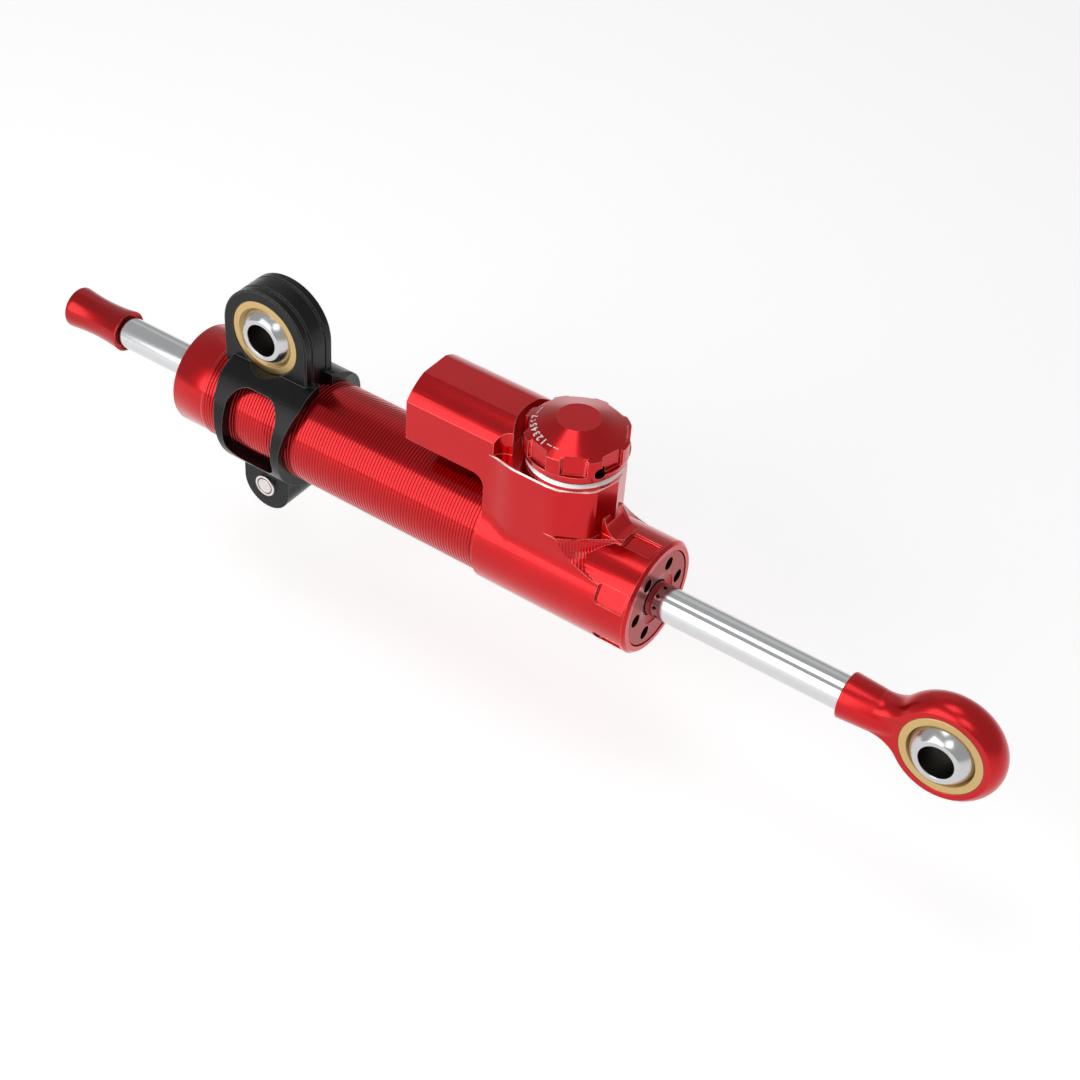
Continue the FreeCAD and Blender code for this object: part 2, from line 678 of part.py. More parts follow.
def make_dial():
    grip_low = dial_foot_top + dial_step
    dial = turned([(hub_bottom, 0), (hub_bottom, hub_r), (dial_bottom, hub_r),
                   (dial_bottom, dial_foot_r - dial_foot_edge), (dial_bottom + dial_foot_edge, dial_foot_r),
                   (dial_foot_top, dial_foot_r), (grip_low, dial_r), (dial_bevel_z, dial_r),
                   (dial_top, dial_disc_r), (dial_top, 0)], Z, dial_axis)
    flute = block(dial_x + dial_r - flute_depth, dial_x + far, -flute_w / 2, flute_w / 2, grip_low, dial_top)
    flute = flute.makeFillet(flute_corner_r, edges_where(flute, lambda e: straight_along(e, Z)
                                                         and e.BoundBox.XMax < dial_x + dial_r))
    for one in spun(flute, flutes, Z, dial_axis, flute_start):
        dial = dial.cut(one)
    dial = dial.cut(cylinder(spindle_r, 0, hub_bottom + spindle_into_dial, Z, dial_axis))
    # detent track and its dimples
    track_top = hub_bottom + detent_track_depth
    dial = dial.cut(ring(detent_ring_r + detent_track_half, detent_ring_r - detent_track_half,
                         hub_bottom - overrun, track_top, Z, dial_axis))
    dimple = cylinder(dimple_r, hub_bottom, track_top + dimple_depth, Z, detent_axis)
    for one in spun(dimple, detents, Z, dial_axis):
        dial = dial.cut(one)
    # grub screw, drawn along +x and turned to its place
    grub_start = spindle_r - spindle_flat
    grub_end = grub_start + grub_len
    grub_axis = V(dial_x, 0, grub_z)
    hole = cylinder(grub_r, 0, dial_r + overrun, X, grub_axis)
    hex_points = [(socket_r * math.cos(math.radians(60 * i)), socket_r * math.sin(math.radians(60 * i)))
                  for i in range(6)]
    socket = prism(hex_points, X * (socket_depth + overrun),
                   lambda a, b: grub_axis + V(grub_end - socket_depth, a, b))
    grub = cylinder(grub_r, grub_start, grub_end, X, grub_axis).cut(socket)
    for shape in (hole, grub):
        shape.rotate(dial_axis, Z, grub_angle)
    return dial.cut(hole), grub


def make_detent():
    ball_z = hub_bottom - detent_ball_drop
    low = boss_top - detent_hole_depth + spring_wire_r
    high = ball_z - spring_below_ball - spring_wire_r
    helix = Part.makeHelix((high - low) / spring_turns, high - low, spring_coil_r)
    wire = Part.Wire(Part.makeCircle(spring_wire_r, V(spring_coil_r, 0, 0), Y))
    spring = Part.Wire(helix.Edges).makePipeShell([wire], True, True)
    spring.translate(detent_axis + Z * low)
    return Part.makeSphere(detent_ball_r, detent_axis + Z * ball_z), spring


def make_reservoir():
    at = V(0, 0, res_bore_z)
    clip_tail = res_tail + plug_clip_back
    clip_r = res_bore_r + plug_clip_depth
    clip = ring(clip_r, clip_r - plug_clip_w, clip_tail, clip_tail + circlip_w, X, at)
    clip = clip.cut(block(0, far, -plug_clip_opening / 2, plug_clip_opening / 2, 0, res_bore_z))
    plug_tail = clip_tail + circlip_w
    plug_seal_x = plug_tail + plug_len / 2
    plug = cylinder(res_bore_r, plug_tail, plug_tail + plug_len, X, at)
    plug = plug.cut(cylinder(plug_thread_r, plug_tail - overrun, plug_tail + plug_thread_depth, X, at))
    plug = plug.cut(seal_groove(res_bore_r, plug_seal_x, at))
    float_r = res_bore_r - run_gap
    float_tail, float_seal_x = float_x - float_len / 2, float_x + float_seal_off
    piston = cylinder(float_r, float_tail, float_tail + float_len, X, at)
    piston = piston.cut(cylinder(float_cup_r, float_tail - overrun, float_tail + float_cup_depth, X, at))
    piston = piston.cut(seal_groove(float_r, float_seal_x, at))
    plug_seal, float_seal = seal_ring(res_bore_r, plug_seal_x, X, at), seal_ring(float_r, float_seal_x, X, at)
    return clip, plug, plug_seal, piston, float_seal


def ear_plate(y0, y1, inset=0.0):
    r = clamp_eye_r - inset
    return fuse(cylinder(r, y0, y1, Y, V(0, 0, eye_z)), block(-r, r, y0, y1, ear_foot_z, eye_z))


def grooved_plate(y0, y1):
    # the edge of each layer steps in a little where the layers meet
    return fuse(ear_plate(y0, y0 + ear_edge, ear_edge), ear_plate(y0 + ear_edge, y1 - ear_edge),
                ear_plate(y1 - ear_edge, y1, ear_edge))


def make_clamp():
    bore = cylinder(tube_r, -far, far)
    eye = cylinder(race_r, -far, far, Y, V(0, 0, eye_z))
    # band: its side edges curve in from the ears to the narrow lower part
    sides = []
    for side in (1, -1):
        top = V(band_x + side * band_half_top, 0, window_high)
        waist = V(band_x + side * band_half_waist, 0, band_waist_z)
        low = V(band_x + side * band_half_low, 0, -clamp_band_r)
        sides += [Part.Arc(top, waist, low).toShape(), Part.makeLine(top, V(top.x, 0, band_top_z))]
    ends = [Part.makeLine(V(band_x - half, 0, z), V(band_x + half, 0, z))
            for half, z in ((band_half_low, -clamp_band_r), (band_half_top, band_top_z))]
    slab = Part.Face(Part.Wire(Part.__sortEdges__(sides + ends))).extrude(Y * -far)
    band = cylinder(clamp_band_r, -far, far).common(slab)
    band = band.cut(block(-far, far, -ear_seam, 0, 0, far))
    pin_at = V(lug_x, 0, lug_z)
    lug = fuse(cylinder(lug_r, -lug_half, 0, Y, pin_at),
               block(lug_x - lug_r, lug_x + lug_r, -lug_half, 0, lug_z, lug_root_z))
    window = block(band_x - window_half, band_x + window_half, -far, -window_depth, window_low, window_high)
    window = window.makeFillet(window_corner_r, edges_where(window, lambda e: straight_along(e, Y)))
    half = fuse(grooved_plate(-ear_half, -ear_seam), band, lug).cut(bore).cut(eye).cut(window)
    half = half.cut(cylinder(pin_r, -far, far, Y, pin_at))
    # the middle layer ends on the tube
    middle = grooved_plate(-ear_seam, ear_seam).cut(bore).cut(eye)
    head_end, top_r = lug_half + pin_head_len, pin_head_r - pin_head_slope
    pin = turned([(-head_end, 0), (-head_end, top_r), (edge_break - head_end, pin_head_r),
                  (-lug_half, pin_head_r), (-lug_half, pin_r), (lug_half, pin_r), (lug_half, pin_head_r),
                  (head_end - edge_break, pin_head_r), (head_end, top_r), (head_end, 0)], Y, pin_at)
    return half, mirrored(half), middle, pin


def main():
    nodes = {}
    nodes["rod"], nodes["piston_clips"] = make_rod()
    nodes["piston"], nodes["piston_band"] = make_piston()
    nodes["rod_end"] = make_rod_end()
    nodes["rear_cap"] = make_cap()
    nodes["rod_race"], nodes["rod_ball"] = make_bearing(rod_eye_x, 0, rod_race_half)
    nodes["clamp_race"], nodes["clamp_ball"] = make_bearing(0, eye_z, clamp_race_half)
    nodes["tube"], nodes["inner_sleeve"] = make_tube()
    front = make_gland(head_nose - gland_inset, 1, collar_bore_r)
    rear = make_gland(tube_tail + tail_gland_inset, -1, tube_in_r)
    for end, made in (("front", front), ("rear", rear)):
        for kind, shape in zip(("gland", "bush", "seal", "wiper", "oring"), made):
            nodes[end + "_" + kind] = shape
    nodes["valve_head"] = make_head()
    valve_names = ("valve_seat", "valve_sleeve", "valve_body", "spindle_seal", "spindle")
    nodes.update(zip(valve_names, make_valve()))
    nodes["dial"], nodes["dial_screw"] = make_dial()
    nodes["detent_ball"], nodes["detent_spring"] = make_detent()
    reservoir_names = ("plug_clip", "reservoir_plug", "plug_seal", "float_piston", "float_seal")
    nodes.update(zip(reservoir_names, make_reservoir()))
    nodes.update(zip(("clamp_front", "clamp_rear", "clamp_middle", "clamp_pin"), make_clamp()))

    for name, shape in nodes.items():
        shape.translate(V(0, 0, -eye_z))
        print(name, "valid" if shape.isValid() else "INVALID", len(shape.Solids), round(shape.Volume, 2))
        shape.exportStep("parts/" + name + ".step")


main()
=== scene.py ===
import json
import math
import bmesh
import bpy
from mathutils import Matrix, Vector


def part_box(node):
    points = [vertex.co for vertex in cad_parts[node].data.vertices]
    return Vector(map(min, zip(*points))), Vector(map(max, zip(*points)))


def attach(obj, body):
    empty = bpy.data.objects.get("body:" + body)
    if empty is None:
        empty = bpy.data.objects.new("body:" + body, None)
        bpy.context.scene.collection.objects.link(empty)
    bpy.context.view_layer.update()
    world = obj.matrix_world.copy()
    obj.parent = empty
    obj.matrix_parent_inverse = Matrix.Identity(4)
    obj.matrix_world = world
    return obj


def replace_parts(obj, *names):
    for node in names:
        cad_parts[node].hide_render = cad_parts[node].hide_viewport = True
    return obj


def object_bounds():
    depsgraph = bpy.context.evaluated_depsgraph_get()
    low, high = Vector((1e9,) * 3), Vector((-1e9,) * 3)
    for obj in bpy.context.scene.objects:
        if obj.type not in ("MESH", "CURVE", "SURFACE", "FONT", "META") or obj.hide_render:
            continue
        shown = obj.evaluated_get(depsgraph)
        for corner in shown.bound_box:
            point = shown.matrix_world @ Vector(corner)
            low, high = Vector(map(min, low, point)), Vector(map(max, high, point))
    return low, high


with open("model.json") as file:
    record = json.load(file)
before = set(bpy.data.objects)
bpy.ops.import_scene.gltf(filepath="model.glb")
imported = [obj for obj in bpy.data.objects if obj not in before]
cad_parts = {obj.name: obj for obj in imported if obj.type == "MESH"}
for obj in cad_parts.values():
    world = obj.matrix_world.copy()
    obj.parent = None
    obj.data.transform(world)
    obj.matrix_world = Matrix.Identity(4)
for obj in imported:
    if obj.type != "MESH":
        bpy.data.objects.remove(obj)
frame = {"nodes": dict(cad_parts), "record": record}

mm = 0.001
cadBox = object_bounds()
scene = bpy.context.scene
nodes = frame["nodes"]
bodyOf = {node: body for body, members in frame["record"]["behaviour"]["bodies"].items() for node in members}
slotOf = {entry["node"]: entry["material_slot"] for entry in frame["record"]["subparts"]}


def middleOf(node):
    low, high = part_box(node)
    return (Vector(low) + Vector(high)) / 2


# places taken from the frame
rodEye = middleOf("rod_ball")
clampEye = middleOf("clamp_ball")
rodAxis = Vector((0, 0, rodEye.z))
dialAt = Vector((middleOf("valve_seat").x, 0, rodEye.z))   # heights on the dial's axis count from the rod


class Field:
    # a shader socket that takes part in sums
    def __init__(self, finish, out):
        self.finish, self.out = finish, out

    def math(self, operation, first, second=0.0):
        return self.finish.add("ShaderNodeMath", {"operation": operation}, [first, second])

    def __add__(self, other):
        return self.math("ADD", self, other)

    def __sub__(self, other):
        return self.math("SUBTRACT", self, other)

    def __rsub__(self, other):
        return self.math("SUBTRACT", other, self)

    def __mul__(self, other):
        return self.math("MULTIPLY", self, other)

    def __pow__(self, other):
        return self.math("POWER", self, other)

    def __abs__(self):
        return self.math("ABSOLUTE", self)

    __radd__ = __add__
    __rmul__ = __mul__

    def sine(self):
        return self.math("SINE", self)

    def clamped(self):
        return self.finish.add("ShaderNodeClamp", {}, [self, 0.0, 1.0])


endRings = 0.83   # how close the rings on an end face lie, against those along the piece


class Finish:
    # the node tree of a material or of the world
    def __init__(self, owner):
        owner.use_nodes = True
        self.owner = owner
        self.tree = owner.node_tree
        self.tree.nodes.clear()

    def add(self, kind, settings, inputs, output=0):
        node = self.tree.nodes.new(kind)
        for key, value in settings.items():
            setattr(node, key, value)
        pairs = inputs.items() if isinstance(inputs, dict) else enumerate(inputs)
        for key, value in pairs:
            if isinstance(value, Field):
                self.tree.links.new(value.out, node.inputs[key])
            else:
                node.inputs[key].default_value = value
        return Field(self, node.outputs[output]) if len(node.outputs) else None

    def around(self, centre):
        # object coordinates counted in millimetres from a point of the piece
        place = self.add("ShaderNodeTexCoord", {}, {}, "Object")
        shift = self.add("ShaderNodeVectorMath", {"operation": "SUBTRACT"}, [place, centre])
        return self.add("ShaderNodeVectorMath", {"operation": "MULTIPLY"}, [shift, (1 / mm,) * 3])

    def parts(self, vector):
        split = self.add("ShaderNodeSeparateXYZ", {}, [vector])
        return [Field(self, out) for out in split.out.node.outputs]

    def vector(self, x, y, z):
        return self.add("ShaderNodeCombineXYZ", {}, [x, y, z])

    def noise(self, vector, scale, detail=2.0, rough=0.5):
        return self.add("ShaderNodeTexNoise", {}, {"Vector": vector, "Scale": scale, "Detail": detail,
                                                   "Roughness": rough})

    def mix(self, factor, first, second):
        return self.add("ShaderNodeMix", {"data_type": "RGBA"}, {0: factor, 6: first, 7: second}, 2)

    def turned(self, axis, centre):
        # one coordinate in mm that makes rings on a turned piece, along it and across its ends
        x, y, z = self.parts(self.around(centre))
        along, side, up = {"X": (x, y, z), "Y": (y, x, z), "Z": (z, x, y)}[axis]
        return along + (side * side + up * up) ** 0.5 * endRings

    def edges(self, radius, gain=9.0):
        # rounded normal, and a mask that is 1 on sharp edges
        soft = self.add("ShaderNodeBevel", {"samples": 6}, {"Radius": radius})
        plain = self.add("ShaderNodeNewGeometry", {}, {}, "Normal")
        same = self.add("ShaderNodeVectorMath", {"operation": "DOT_PRODUCT"}, [soft, plain], 1)
        return soft, ((1.0 - same) * gain).clamped()

    def bump(self, height, strength, distance, normal=None):
        inputs = {"Height": height, "Strength": strength, "Distance": distance}
        if normal:
            inputs["Normal"] = normal
        return self.add("ShaderNodeBump", {}, inputs)

    def finished(self, values):
        shader = self.add("ShaderNodeBsdfPrincipled", {}, values)
        self.add("ShaderNodeOutputMaterial", {}, {"Surface": shader})
        return self.owner


def newFinish(name):
    return Finish(bpy.data.materials.new(name))


# edge is a painted highlight: a pale pink mixed into the red on sharp edges
redLook = {"deep": (0.46, 0.004, 0.007), "bright": (0.64, 0.008, 0.012), "edge": (1.0, 0.40, 0.36, 1),
           "edgeHighlightShare": 0.8, "edgeRadius": 0.14, "edgeGain": 9.0, "cloudScale": 0.11, "cloudShare": 0.6,
           "streakScale": 2.6, "streakShare": 0.4, "streakDepth": 0.02, "rough": 0.14, "cloudRough": 0.06,
           "streakRough": 0.10, "coatRough": 0.12, "coatIndex": 1.5}
millLook = {"angle": 51.5, "pitch": 0.70, "depth": 0.12, "spread": 9, "steepest": 0.1, "flattest": 0.95,
            "belowShelf": 8}


def cutterMarks(f):
    # scallops left by the cutter in the valleys between the dial's boss and the collar
    x, y, z = f.parts(f.around(dialAt))
    a = math.radians(millLook["angle"])
    return abs(((x * math.sin(a) - abs(y) * math.cos(a)) * (math.pi / millLook["pitch"])).sine())


def redAnodised(name, axis, centre, lines=0.10, shade=1.0, edged=True, milled=False, rough=0.0,
                edgeRadius=redLook["edgeRadius"], coat=0.4):
    f = newFinish(name)
    # shade scales both reds down; on the tube's grooves and on the cap this darkening is painted shade
    deep, bright = (tuple(shade * c for c in redLook[key]) + (1,) for key in ("deep", "bright"))
    cloud = f.noise(f.around(centre), redLook["cloudScale"], 3.0)
    rings = f.turned(axis, centre) if edged else f.parts(f.around(centre))[0]
    streak = f.noise(f.vector(rings, 0.0, 0.0), redLook["streakScale"], 3.0, 0.7)
    colour = f.mix(cloud * redLook["cloudShare"] + streak * redLook["streakShare"], deep, bright)
    soft = None
    if edged:
        soft, edge = f.edges(edgeRadius * mm, redLook["edgeGain"] * (redLook["edgeRadius"] / edgeRadius) ** 2)
        # painted highlight: the sharp edges are tinted pale pink
        colour = f.mix(edge * redLook["edgeHighlightShare"], colour, redLook["edge"])
    roughness = streak * redLook["streakRough"] + cloud * redLook["cloudRough"] + (redLook["rough"] + rough)
    normal = f.bump(streak, lines, redLook["streakDepth"] * mm, soft)
    if milled:
        normal = f.bump(cutterMarks(f), 1.0, millLook["depth"] * mm, normal)
    return f.finished({"Base Color": colour, "Metallic": 1.0, "Roughness": roughness.clamped(),
                       "Normal": normal, "Coat Weight": coat, "Coat Roughness": redLook["coatRough"] + rough,
                       "Coat IOR": redLook["coatIndex"]})


# edge is a painted highlight: a grey mixed into the black on sharp edges
blackLook = {"deep": (0.003, 0.003, 0.0032, 1), "pale": (0.006, 0.006, 0.0065, 1),
             "edge": (0.24, 0.24, 0.245, 1), "edgeHighlightShare": 0.8, "edgeRadius": 0.2, "grainScale": 3.2,
             "grainRough": 0.08, "grainBump": 0.03, "grainDepth": 0.02, "cloudScale": 0.16,
             "cloudRough": 0.08, "rough": 0.18, "specular": 0.24}


def blackAnodised(name, centre):
    f = newFinish(name)
    look = blackLook
    soft, edge = f.edges(look["edgeRadius"] * mm)
    grain = f.noise(f.around(centre), look["grainScale"], 4.0, 0.65)
    cloud = f.noise(f.around(centre), look["cloudScale"], 2.0)
    # painted highlight: the sharp edges are tinted grey
    colour = f.mix(edge * look["edgeHighlightShare"], f.mix(cloud, look["deep"], look["pale"]), look["edge"])
    roughness = grain * look["grainRough"] + cloud * look["cloudRough"] + look["rough"]
    return f.finished({"Base Color": colour, "Roughness": roughness.clamped(),
                       "Specular IOR Level": look["specular"],
                       "Normal": f.bump(grain, look["grainBump"], look["grainDepth"] * mm, soft)})


polishLook = {"edgeRadius": 0.10, "fineScale": 5.0, "fineShare": 0.2, "fineRough": 0.04, "fineDepth": 0.015,
              "smearScale": 0.5, "smearShare": 0.5, "smearRough": 0.2, "dim": 0.80}


def polished(name, axis, centre, colour, rough, lines=0.03, smears=0.25):
    f = newFinish(name)
    look = polishLook
    soft = f.edges(look["edgeRadius"] * mm)[0]
    fine = f.noise(f.vector(f.turned(axis, centre), 0.0, 0.0), look["fineScale"], 2.0, 0.6)
    smear = f.noise(f.around(centre), look["smearScale"], 4.0, 0.6)
    dimmed = tuple(look["dim"] * c for c in colour[:3]) + (1,)
    base = f.mix(smear * look["smearShare"] + fine * look["fineShare"], colour, dimmed)
    uneven = smear * smears * look["smearRough"] + fine * look["fineRough"]
    return f.finished({"Base Color": base, "Metallic": 1.0,
                       "Roughness": (uneven + (rough - look["fineRough"])).clamped(),
                       "Normal": f.bump(fine, lines, look["fineDepth"] * mm, soft)})


darkLook = {"grainScale": 2.0, "grainBump": 0.1, "grainDepth": 0.02, "pale": 1.5}


def plainDark(name, colour, rough):
    f = newFinish(name)
    look = darkLook
    grain = f.noise(f.around((0, 0, 0)), look["grainScale"], 3.0)
    shade = f.mix(grain, colour, tuple(look["pale"] * c for c in colour[:3]) + (1,))
    return f.finished({"Base Color": shade, "Roughness": rough,
                       "Normal": f.bump(grain, look["grainBump"], look["grainDepth"] * mm)})


steelColour = (0.62, 0.62, 0.63, 1)
brassColour = (0.66, 0.46, 0.20, 1)
finishes = {
    "redTube": redAnodised("redTube", "X", rodAxis, 0.04, edged=False),
    # painted shade: a darker copy of the tube's red for the groove floors and slopes
    "redGroovePaintedShade": redAnodised("redGroovePaintedShade", "X", rodAxis, 0.04, 0.72, edged=False),
    "redHead": redAnodised("redHead", "X", rodAxis, 0.06),
    "redMilled": redAnodised("redMilled", "X", rodAxis, 0.06, milled=True),
    "redDial": redAnodised("redDial", "Z", dialAt, 0.12),
    # painted shade: the cap's red is darkened to 0.8 of the plain red
    "redCapPaintedShade": redAnodised("redCapPaintedShade", "X", rodAxis, 0.10, 0.8, rough=0.05),
    "redRodEnd": redAnodised("redRodEnd", "Y", rodEye, 0.03, rough=0.08, edgeRadius=0.6),
    "redGland": redAnodised("redGland", "X", rodAxis, 0.12, 0.6, coat=0.1),
    # the shelf's polished chamfer, brightened to pale pink: partly its own polish, partly painted highlight
    "polishedChamferHighlight": polished("polishedChamferHighlight", "Z", dialAt, (1.0, 0.60, 0.57, 1), 0.3, 0.02),
    "black": blackAnodised("blackAnodised", clampEye),
    "chrome": polished("hardChrome", "X", rodAxis, (0.69, 0.70, 0.71, 1), 0.12, 0.02),
    "rodBall": polished("rodBallSteel", "Y", rodEye, steelColour, 0.16, 0.05, 0.6),
    "clampBall": polished("clampBallSteel", "Y", clampEye, steelColour, 0.16, 0.05, 0.6),
    "rodRace": polished("rodRaceBrass", "Y", rodEye, brassColour, 0.36, 0.12),
    "clampRace": polished("clampRaceBrass", "Y", clampEye, brassColour, 0.36, 0.12),
    "pin": polished("pinSteel", "Y", clampEye, (0.78, 0.74, 0.72, 1), 0.22, 0.06),
    "steel": polished("plainSteel", "X", rodAxis, (0.55, 0.55, 0.57, 1), 0.28),
    "brass": polished("valveBrass", "Z", dialAt, (0.72, 0.54, 0.25, 1), 0.3),
    "aluminium": polished("bareAluminium", "X", rodAxis, (0.80, 0.80, 0.81, 1), 0.3, 0.1),
    "bareRing": polished("bareRing", "Z", dialAt, (0.99, 0.98, 0.97, 1), 0.5, 0.02, 0.1),
    "darkSteel": polished("darkSteel", "Y", dialAt, (0.05, 0.045, 0.045, 1), 0.35),
    "boreSteel": polished("boreSteel", "Y", rodEye, (0.075, 0.065, 0.055, 1), 0.4),
    "rubber": plainDark("sealRubber", (0.014, 0.014, 0.014, 1), 0.55),
    "band": plainDark("slideBand", (0.05, 0.06, 0.06, 1), 0.5),
}
print("finishes made")


def addPiece(name, bm, keys, node, sharp=12, weighted=False):
    # edges past so many degrees stay crisp: 12 on a milled piece and 25 on a turned one
    mesh = bpy.data.meshes.new(name)
    bm.to_mesh(mesh)
    bm.free()
    for key in keys:
        mesh.materials.append(finishes[key])
    for polygon in mesh.polygons:
        polygon.use_smooth = True
    mesh.set_sharp_from_angle(angle=math.radians(sharp))
    obj = bpy.data.objects.new(name, mesh)
    scene.collection.objects.link(obj)
    if weighted:
        even = obj.modifiers.new("evenShading", "WEIGHTED_NORMAL")
        even.keep_sharp, even.weight, even.mode = True, 100, "FACE_AREA"
    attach(obj, bodyOf[node])
    return obj


merging = {"copy": 0.002, "piece": 0.001, "flatAngle": 0.3}


def copyOf(node):
    # the node's own shape, with its triangles joined
    bm = bmesh.new()
    bm.from_mesh(nodes[node].data)
    bmesh.ops.remove_doubles(bm, verts=bm.verts, dist=merging["copy"] * mm)
    bmesh.ops.dissolve_degenerate(bm, edges=bm.edges, dist=merging["piece"] * mm)
    widest = math.radians(merging["flatAngle"])
    flat = [e for e in bm.edges if len(e.link_faces) == 2 and e.calc_face_angle(1) < widest]
    bmesh.ops.dissolve_edges(bm, edges=flat, use_verts=False)
    return bm


def dress(node, finish):
    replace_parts(addPiece(node + "_finished", copyOf(node), [finish], node, 12, True), node)


longestCut = 0.45   # how much of a side a rounded corner may take
roundSteps = {"bearing": 144, "cap": 128, "slim": 96}


def rounded(points, radius):
    # the same profile with its corners rounded
    made = []
    for i, (here, r) in enumerate(zip(points, radius)):
        if r == 0 or i in (0, len(points) - 1):
            made.append(here)
            continue
        p, q, s = (Vector(points[j]) for j in (i - 1, i, i + 1))
        cut = min(r, (p - q).length * longestCut, (s - q).length * longestCut)
        a, b = q + (p - q).normalized() * cut, q + (s - q).normalized() * cut
        for t in (0, 0.25, 0.5, 0.75, 1):
            made.append(tuple(a * (1 - t) ** 2 + q * 2 * t * (1 - t) + b * t ** 2))
    return made


def turn(points, axis, centre, steps):
    # points are (station, radius) in millimetres along the axis
    bm = bmesh.new()
    side = {"X": Vector((0, 0, 1)), "Y": Vector((1, 0, 0))}[axis]
    way = {"X": Vector((1, 0, 0)), "Y": Vector((0, 1, 0))}[axis]
    verts = [bm.verts.new(centre + way * s * mm + side * r * mm) for s, r in points]
    edges = [bm.edges.new(pair) for pair in zip(verts, verts[1:])]
    bmesh.ops.spin(bm, geom=verts + edges, cent=centre, axis=way, angle=math.tau, steps=steps, use_merge=True)
    bmesh.ops.remove_doubles(bm, verts=bm.verts, dist=merging["piece"] * mm)
    bmesh.ops.recalc_face_normals(bm, faces=bm.faces)
    return bm


def turnedPiece(node, finish, points, axis, centre, steps):
    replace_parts(addPiece(node + "_finished", turn(points, axis, centre, steps), [finish], node, 25), node)


tubeLook = {"pitch": 0.8, "depth": 0.15, "crest": 0.42, "slope": 0.13, "inner": 11.0, "thread": 12.0,
            "threadSlack": 0.1, "band": 12.5, "bandEnd": -13.5, "bandEdge": 0.5, "bandStep": 0.4,
            "firstGroove": 0.3, "headTail": 66.1, "steps": 160}


def makeTube():
    low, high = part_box("tube")
    tail, end, radius = low.x / mm, high.x / mm, (high.z - rodAxis.z) / mm
    look = tubeLook
    band, inner, floor, edge = look["band"], look["inner"], radius - look["depth"], look["bandEdge"]
    points = [(tail, inner), (tail, band - edge), (tail + edge * 0.3, band - edge * 0.3), (tail + edge, band),
              (look["bandEnd"] - look["bandStep"], band), (look["bandEnd"], radius)]
    x = look["bandEnd"] + look["firstGroove"]
    while x + look["pitch"] < look["headTail"]:
        points += [(x, radius), (x + look["crest"], radius), (x + look["crest"] + look["slope"], floor),
                   (x + look["pitch"] - look["slope"], floor)]
        x += look["pitch"]
    points += [(look["headTail"], radius), (look["headTail"], look["thread"]), (end, look["thread"]),
               (end, inner), (tail, inner)]
    bm = turn(points, "X", rodAxis, look["steps"])
    # painted shade: faces sunk in the grooves take the darker red
    for face in bm.faces:
        spot = (face.calc_center_median() - rodAxis) / mm
        across = math.hypot(spot.y, spot.z)
        sunk = look["thread"] + look["threadSlack"] < across < radius - look["depth"] * 0.3
        if sunk and look["bandEnd"] < spot.x < look["headTail"]:
            face.material_index = 1
    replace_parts(addPiece("tube_finished", bm, ["redTube", "redGroovePaintedShade"], "tube", 25), "tube")


rodLook = {"stud": 3.0, "studEdge": 0.5, "rearStud": 6.5, "frontStud": 8.5}


def makeRod():
    low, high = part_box("rod")
    tail, nose, radius = low.x / mm, high.x / mm, (high.z - rodAxis.z) / mm
    stud, edge = rodLook["stud"], rodLook["studEdge"]
    rear, front = tail + rodLook["rearStud"], nose - rodLook["frontStud"]
    points = [(tail, 0), (tail, stud - edge), (tail + edge, stud), (rear, stud), (rear, radius),
              (front, radius), (front, stud), (nose - edge, stud), (nose, stud - edge), (nose, 0)]
    turnedPiece("rod", "chrome", points, "X", rodAxis, roundSteps["slim"])


capLook = {"end": 5.25, "waist": 4.65, "waistAt": 0.51, "rim": 0.5, "taper": 0.02, "tailEdge": 0.55,
           "noseEdge": 0.35, "recess": 4.7, "recessDepth": 0.8, "recessEdge": 0.15, "bore": 4.0, "steps": 16}


def makeCap():
    low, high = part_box("rear_cap")
    tail, nose, stub = low.x / mm, high.x / mm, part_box("rod")[0].x / mm
    end, recess, bottom = capLook["end"], capLook["recess"], nose - capLook["recessDepth"]
    waist, rim, seat = capLook["waist"], capLook["rim"], stub + rodLook["rearStud"]
    points, radius = [(tail, 0), (tail, end - capLook["taper"])], [0, capLook["tailEdge"]]
    for i in range(1, capLook["steps"]):
        t = i / capLook["steps"]
        bow = ((t - capLook["waistAt"]) / capLook["waistAt"]) ** 2
        points.append((tail + rim + (nose - tail - 2 * rim) * t, waist + (end - waist) * bow))
        radius.append(0)
    points += [(nose, end - capLook["taper"]), (nose, recess), (bottom, recess), (bottom, capLook["bore"]),
               (seat, capLook["bore"]), (seat, rodLook["stud"]), (stub, rodLook["stud"]), (stub, 0)]
    radius += [capLook["noseEdge"], capLook["recessEdge"], 0, 0, 0, 0, 0, 0]
    turnedPiece("rear_cap", "redCapPaintedShade", rounded(points, radius), "X", rodAxis, roundSteps["cap"])


eyeLook = {"ball": 7.94, "side": 6.0, "bore": 4.0, "race": 9.5, "gap": 0.04, "mouth": 0.9, "lip": 7.7,
           "raceEdge": 0.28, "lipEdge": 0.1, "ballEdge": 0.18, "boreEdge": 0.35, "boreSlack": 0.02,
           "seam": 0.3, "raceSteps": 24, "ballSteps": 40}


